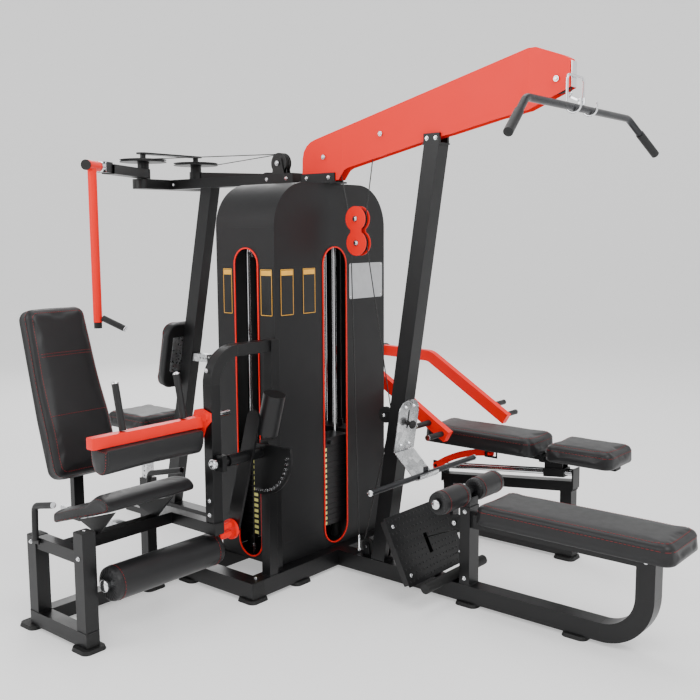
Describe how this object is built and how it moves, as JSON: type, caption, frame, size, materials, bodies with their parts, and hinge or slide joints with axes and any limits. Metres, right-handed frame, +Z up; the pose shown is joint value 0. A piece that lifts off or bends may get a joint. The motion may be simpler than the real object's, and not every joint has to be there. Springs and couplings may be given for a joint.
{
  "type": "multi gym",
  "caption": "Four-station commercial multi gym with a shared weight tower: pulldown and low row, leg curl and extension, pec fly and bench press, in black and orange-red steel.",
  "frame": {"origin": "Centre of the weight tower on the floor, at the middle of the underside of the central rubber foot.", "axes": "Z is up. +X points out along the pulldown and low-row station, which is the longest extent. -Y points along the leg station and +Y to the press bench."},
  "size_m": [3.315, 2.583, 2.298],
  "materials": {
    "black_frame": "satin powder coat",
    "red_frame": "gloss powder coat",
    "grey_shroud": "textured powder coat",
    "chrome": "polished plate",
    "zinc": "galvanised",
    "black_pad": "matte grained vinyl",
    "black_rubber": "matte moulded",
    "cable_black": "nylon-coated wire",
    "stack_steel": "matte black",
    "label_grey": "blank printed film",
    "pulley_black": "moulded nylon",
    "bar_steel": "dark metallic"
  },
  "bodies": {
    "root": {"bar_hooks": "chrome", "blank_labels": "label_grey", "boom_pulleys": "pulley_black", "boom_shell": "red_frame", "chrome_bolts": "chrome", "fly_cables": "cable_black", "fly_frame": "black_frame", "fly_pulleys": "pulley_black", "foot_plate": "black_frame", "guide_rods": "chrome", "inner_cables": "cable_black", "lat_bench_pad": "black_pad", "lat_station_frame": "black_frame", "lat_strut": "black_frame", "leg_arch": "black_frame", "leg_seat_pad": "black_pad", "leg_station_frame": "black_frame", "press_frame": "black_frame", "row_bar_holder": "zinc", "rubber_feet": "black_rubber", "sheave_brackets": "black_frame", "shroud_front_panel": "grey_shroud", "shroud_rear_panel": "grey_shroud", "shroud_wrap": "grey_shroud", "slot_trims": "red_frame", "tower_base_frame": "black_frame", "tower_cables": "cable_black", "weight_plates": "stack_steel", "zinc_tubes": "zinc"},
    "lat_stack": {"lat_stack_head": "stack_steel"},
    "pec_stack": {"pec_stack_head": "stack_steel"},
    "leg_stack": {"leg_stack_head": "stack_steel"},
    "press_stack": {"press_stack_head": "stack_steel"},
    "float_block": {"float_bracket": "red_frame"},
    "pulldown_bar": {"lat_bar": "bar_steel"},
    "row_handle": {"row_bar": "bar_steel"},
    "thigh_holder": {"thigh_holder_post": "black_frame", "thigh_rollers": "black_pad"},
    "strut_wheel": {"strut_pulley": "pulley_black"},
    "lever": {"leg_lever": "black_frame", "ankle_arm": "red_frame"},
    "ankle": {"ankle_roller": "black_pad"},
    "hold_down": {"thigh_bar": "red_frame", "thigh_pad": "black_pad"},
    "leg_back": {"back_carrier": "black_frame", "leg_back_pad": "black_pad"},
    "arm_left": {"fly_arm_left": "black_frame"},
    "arm_right": {"fly_arm_right": "black_frame"},
    "handle_left": {"fly_handle_left": "red_frame"},
    "handle_right": {"fly_handle_right": "red_frame"},
    "fly_seat": {"fly_seat_post": "black_frame", "fly_seat_pad": "black_pad"},
    "fly_back": {"fly_back_carrier": "zinc", "fly_back_pad": "black_pad"},
    "press_lever": {"press_arms": "red_frame"},
    "carriage": {"press_carriage": "black_frame", "press_seat_pad": "black_pad"},
    "bench_back": {"press_back_frame": "black_frame", "press_back_pad": "black_pad"},
    "bench_link": {"press_link": "red_frame"}
  },
  "joints": [
    {"name": "lat_stack_slide", "type": "slide", "parent": "root", "child": "lat_stack", "axis": [0, 0, 1], "range_m": [0, 0.8], "deforming": ["tower_cables"]},
    {"name": "float_slide", "type": "slide", "parent": "root", "child": "float_block", "axis": [0, 0, -1], "range_m": [0, 0.4]},
    {"name": "pec_stack_slide", "type": "slide", "parent": "root", "child": "pec_stack", "axis": [0, 0, 1], "range_m": [0, 0.25], "deforming": ["fly_cables"]},
    {"name": "leg_stack_slide", "type": "slide", "parent": "root", "child": "leg_stack", "axis": [0, 0, 1], "range_m": [0, 0.3], "deforming": ["inner_cables"]},
    {"name": "press_stack_slide", "type": "slide", "parent": "root", "child": "press_stack", "axis": [0, 0, 1], "range_m": [0, 0.4], "deforming": ["inner_cables"]},
    {"name": "bar_lift", "type": "slide", "parent": "root", "child": "pulldown_bar", "axis": [0, 0, 1], "range_m": [0, 0.03]},
    {"name": "row_bar_lift", "type": "slide", "parent": "root", "child": "row_handle", "axis": [0, 0, 1], "range_m": [0, 0.1]},
    {"name": "thigh_holder_slide", "type": "slide", "parent": "root", "child": "thigh_holder", "axis": [0, 0, 1], "range_m": [0, 0.15]},
    {"name": "strut_pulley_spin", "type": "hinge", "parent": "root", "child": "strut_wheel", "pos_m": [0.499, 0, 0.775], "axis": [0, 1, 0], "continuous": true},
    {"name": "leg_lever_hinge", "type": "hinge", "parent": "root", "child": "lever", "pos_m": [0.215, -0.6, 0.655], "axis": [0, -1, 0], "range_deg": [0, 100]},
    {"name": "ankle_roller_spin", "type": "hinge", "parent": "lever", "child": "ankle", "pos_m": [0.12, -0.985, 0.258], "axis": [0, -1, 0], "continuous": true},
    {"name": "hold_down_hinge", "type": "hinge", "parent": "root", "child": "hold_down", "pos_m": [0.175, -0.76, 0.85], "axis": [0, -1, 0], "range_deg": [0, 60]},
    {"name": "leg_back_slide", "type": "slide", "parent": "root", "child": "leg_back", "axis": [-1, 0, 0], "range_m": [-0.06, 0.05]},
    {"name": "fly_left_hinge", "type": "hinge", "parent": "root", "child": "arm_left", "pos_m": [-0.97, -0.18, 1.91], "axis": [0, 0, -1], "range_deg": [0, 105]},
    {"name": "fly_right_hinge", "type": "hinge", "parent": "root", "child": "arm_right", "pos_m": [-0.97, 0.18, 1.91], "axis": [0, 0, 1], "range_deg": [0, 105]},
    {"name": "handle_left_hinge", "type": "hinge", "parent": "arm_left", "child": "handle_left", "pos_m": [-0.71004, -0.67939, 1.914], "axis": [0.4617, -0.887, 0], "range_deg": [-20, 20]},
    {"name": "handle_right_hinge", "type": "hinge", "parent": "arm_right", "child": "handle_right", "pos_m": [-0.71004, 0.67939, 1.914], "axis": [0.4617, 0.887, 0], "range_deg": [-20, 20]},
    {"name": "fly_seat_slide", "type": "slide", "parent": "root", "child": "fly_seat", "axis": [0, 0, 1], "range_m": [-0.08, 0.08]},
    {"name": "fly_back_slide", "type": "slide", "parent": "root", "child": "fly_back", "axis": [-1, 0, 0], "range_m": [-0.005, 0.05]},
    {"name": "press_lever_hinge", "type": "hinge", "parent": "root", "child": "press_lever", "pos_m": [-0.36, 0.785, 0.905], "axis": [0, -1, 0], "range_deg": [0, 60]},
    {"name": "carriage_slide", "type": "slide", "parent": "root", "child": "carriage", "axis": [-0.9942, 0, -0.108], "range_m": [0, 0.09]},
    {"name": "bench_back_hinge", "type": "hinge", "parent": "carriage", "child": "bench_back", "pos_m": [0.893, 0.785, 0.485], "axis": [0, 1, 0], "range_deg": [0, 23.2]},
    {"name": "bench_link_hinge", "type": "hinge", "parent": "root", "child": "bench_link", "pos_m": [0.262, 0.745, 0.352], "axis": [0, -1, 0], "range_deg": [0, 18]}
  ],
  "couplings": [
    {"joint": "float_slide", "follows": "lat_stack_slide", "ratio": 0.5},
    {"joint": "leg_stack_slide", "follows": "leg_lever_hinge", "m_per_rad": 0.15},
    {"joint": "pec_stack_slide", "follows": "fly_left_hinge", "m_per_rad": 0.118},
    {"joint": "fly_right_hinge", "follows": "fly_left_hinge", "ratio": 1},
    {"joint": "press_stack_slide", "follows": "press_lever_hinge", "m_per_rad": 0.35},
    {"joint": "bench_back_hinge", "follows": "carriage_slide", "rad_per_m": 4.48},
    {"joint": "bench_link_hinge", "follows": "carriage_slide", "rad_per_m": 3.468}
  ]
}
